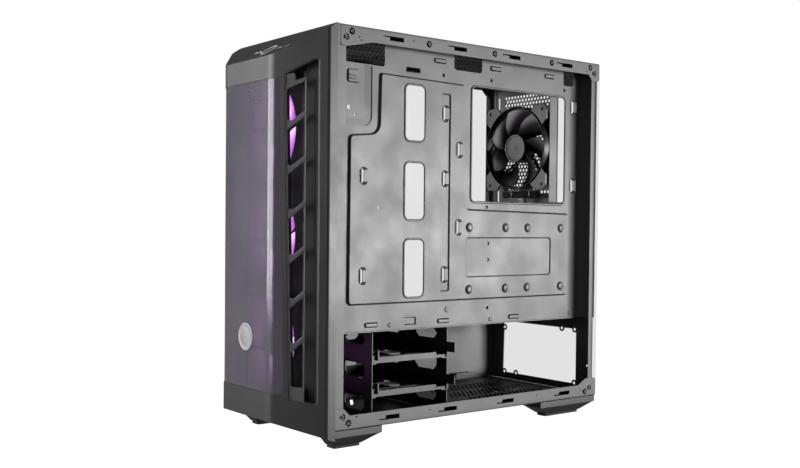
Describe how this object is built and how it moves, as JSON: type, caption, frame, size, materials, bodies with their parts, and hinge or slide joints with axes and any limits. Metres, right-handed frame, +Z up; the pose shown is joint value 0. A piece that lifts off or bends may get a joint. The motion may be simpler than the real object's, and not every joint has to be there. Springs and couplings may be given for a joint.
{
  "type": "desktop computer tower",
  "caption": "Open mid-tower computer case with a smoked front panel, side louvres, lit front fans, drive trays, front ports and a raised motherboard tray.",
  "frame": {"origin": "on the desk under the middle of the case", "axes": "+Z up, front bezel towards -Y, cable side of the motherboard tray towards +X"},
  "size_m": [0.217, 0.496, 0.4693],
  "materials": {
    "grey_steel": "fine satin powder coat",
    "black_steel": "satin black paint",
    "black_plastic": "fine matt texture",
    "smoked_acrylic": "smoked, polished",
    "silver_badge": "satin",
    "rubber": "matt",
    "fan_plastic": "satin moulded",
    "lit_rotor": "translucent, lit from the hub",
    "circuit_board": "lacquered",
    "nickel": "bright plated",
    "light_ring": "diffusing",
    "white_plastic": "satin"
  },
  "bodies": {
    "chassis": {"audio_jack_1": "nickel", "audio_jack_2": "nickel", "bottom_panel": "grey_steel", "bracket_thumbscrew": "black_steel", "drive_cage": "black_steel", "foot_front_left": "black_plastic", "foot_front_right": "black_plastic", "foot_pad_front_left": "rubber", "foot_pad_front_right": "rubber", "foot_pad_rear_left": "rubber", "foot_pad_rear_right": "rubber", "foot_rear_left": "black_plastic", "foot_rear_right": "black_plastic", "front_badge": "silver_badge", "front_bezel": "black_plastic", "front_dust_filter": "black_plastic", "front_fan_frame_lower": "fan_plastic", "front_fan_frame_middle": "fan_plastic", "front_fan_frame_upper": "fan_plastic", "front_frame": "grey_steel", "front_port_board": "circuit_board", "motherboard_tray": "grey_steel", "power_light_ring": "light_ring", "psu_shroud": "grey_steel", "rear_fan_connector": "white_plastic", "rear_fan_frame": "fan_plastic", "rear_fan_lead": "fan_plastic", "rear_wall": "grey_steel", "side_vent_left": "black_plastic", "side_vent_right": "black_plastic", "slot_bracket": "grey_steel", "slot_cover_1": "grey_steel", "slot_cover_2": "grey_steel", "slot_cover_3": "grey_steel", "slot_cover_4": "grey_steel", "slot_cover_5": "grey_steel", "slot_cover_6": "grey_steel", "slot_cover_7": "grey_steel", "smoked_front_panel": "smoked_acrylic", "top_dust_filter": "black_plastic", "top_panel": "grey_steel", "usb_port_1": "nickel", "usb_port_2": "nickel"},
    "front_fan_lower": {"front_fan_rotor_lower": "lit_rotor"},
    "front_fan_middle": {"front_fan_rotor_middle": "lit_rotor"},
    "front_fan_upper": {"front_fan_rotor_upper": "lit_rotor"},
    "rear_fan": {"rear_fan_rotor": "fan_plastic"},
    "power_button": {"power_button": "black_plastic"},
    "reset_button": {"reset_button": "black_plastic"},
    "lower_drive_tray": {"drive_tray_lower": "black_plastic"},
    "upper_drive_tray": {"drive_tray_upper": "black_plastic"},
    "psu_filter": {"psu_dust_filter": "black_plastic"}
  },
  "joints": [
    {"name": "front_fan_lower_spin", "type": "hinge", "parent": "chassis", "child": "front_fan_lower", "pos_m": [0, -0.2045, 0.1155], "axis": [0, 1, 0], "continuous": true},
    {"name": "front_fan_middle_spin", "type": "hinge", "parent": "chassis", "child": "front_fan_middle", "pos_m": [0, -0.2045, 0.236], "axis": [0, 1, 0], "continuous": true},
    {"name": "front_fan_upper_spin", "type": "hinge", "parent": "chassis", "child": "front_fan_upper", "pos_m": [0, -0.2045, 0.3565], "axis": [0, 1, 0], "continuous": true},
    {"name": "rear_fan_spin", "type": "hinge", "parent": "chassis", "child": "rear_fan", "pos_m": [-0.03, 0.2162, 0.361], "axis": [0, 1, 0], "continuous": true},
    {"name": "power_press", "type": "slide", "parent": "chassis", "child": "power_button", "axis": [0, 0.5508, -0.8346], "range_m": [0, 0.0015], "stiffness_N_per_m": 300},
    {"name": "reset_press", "type": "slide", "parent": "chassis", "child": "reset_button", "axis": [0, 0.5508, -0.8346], "range_m": [0, 0.0015], "stiffness_N_per_m": 300},
    {"name": "lower_drive_tray_slide", "type": "slide", "parent": "chassis", "child": "lower_drive_tray", "axis": [1, 0, 0], "range_m": [0, 0.13]},
    {"name": "upper_drive_tray_slide", "type": "slide", "parent": "chassis", "child": "upper_drive_tray", "axis": [1, 0, 0], "range_m": [0, 0.13]},
    {"name": "psu_filter_slide", "type": "slide", "parent": "chassis", "child": "psu_filter", "axis": [0, 1, 0], "range_m": [0, 0.16]}
  ]
}
